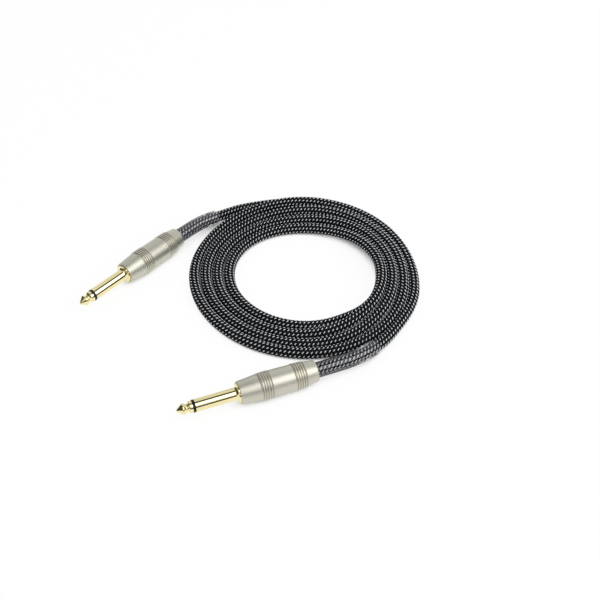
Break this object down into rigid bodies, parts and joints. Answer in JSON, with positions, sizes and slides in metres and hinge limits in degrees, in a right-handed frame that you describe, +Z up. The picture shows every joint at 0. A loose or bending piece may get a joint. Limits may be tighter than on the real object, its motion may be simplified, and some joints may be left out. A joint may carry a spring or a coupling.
{
  "type": "instrument cable",
  "caption": "Braided instrument lead in a flat coil, with a straight mono phone plug at each end: gold contacts, screw-on satin barrels and clear sleeves.",
  "frame": {"origin": "on the surface that the cable lies on, under the middle of the box round the two plugs", "axes": "+Z up; +X to the right and +Y away, seen from the side of the plugs"},
  "size_m": [0.1786, 0.1664, 0.0139],
  "materials": {
    "gold_plate": "polished gold plate over brass",
    "black_plastic": "moulded, gloss",
    "white_plastic": "moulded, matt",
    "tinned_brass": "tin plated pressing",
    "liner_plastic": "extruded tube",
    "satin_nickel": "satin nickel, warm grey",
    "copper": "bare stranded copper",
    "core_plastic": "extruded insulation",
    "solder": "dull bright solder",
    "clear_boot": "clear heat-shrunk tube",
    "woven_jacket": "black braid with rows of white dots"
  },
  "bodies": {
    "root": {"coil": "woven_jacket", "tip_contact_a": "gold_plate", "ring_insulator_a": "black_plastic", "inner_insulator_a": "white_plastic", "sleeve_contact_a": "gold_plate", "rear_insulator_a": "white_plastic", "tip_terminal_a": "tinned_brass", "ground_terminal_a": "tinned_brass", "centre_conductor_a": "copper", "core_insulation_a": "core_plastic", "shield_tail_a": "copper", "solder_joints_a": "solder", "boot_a": "clear_boot", "lead_a": "woven_jacket", "tip_contact_b": "gold_plate", "ring_insulator_b": "black_plastic", "inner_insulator_b": "white_plastic", "sleeve_contact_b": "gold_plate", "rear_insulator_b": "white_plastic", "tip_terminal_b": "tinned_brass", "ground_terminal_b": "tinned_brass", "centre_conductor_b": "copper", "core_insulation_b": "core_plastic", "shield_tail_b": "copper", "solder_joints_b": "solder", "boot_b": "clear_boot", "lead_b": "woven_jacket"},
    "liner_a": {"liner_tube_a": "liner_plastic"},
    "barrel_a": {"barrel_a": "satin_nickel"},
    "liner_b": {"liner_tube_b": "liner_plastic"},
    "barrel_b": {"barrel_b": "satin_nickel"}
  },
  "joints": [
    {"name": "barrel_a_travel", "type": "slide", "parent": "root", "child": "liner_a", "axis": [0.6547, 0.7559, 0], "range_m": [0, 0.0072]},
    {"name": "barrel_a_unscrew", "type": "hinge", "parent": "liner_a", "child": "barrel_a", "pos_m": [-0.01556, 0.0624, 0.00695], "axis": [0.6547, 0.7559, 0], "range_deg": [0, 3456]},
    {"name": "barrel_b_travel", "type": "slide", "parent": "root", "child": "liner_b", "axis": [0.9323, 0.3616, 0], "range_m": [0, 0.0072]},
    {"name": "barrel_b_unscrew", "type": "hinge", "parent": "liner_b", "child": "barrel_b", "pos_m": [0.06064, -0.03835, 0.00695], "axis": [0.9323, 0.3616, 0], "range_deg": [0, 3456]}
  ],
  "couplings": [
    {"joint": "barrel_a_travel", "follows": "barrel_a_unscrew", "m_per_rad": 0.00011937},
    {"joint": "barrel_b_travel", "follows": "barrel_b_unscrew", "m_per_rad": 0.00011937}
  ]
}
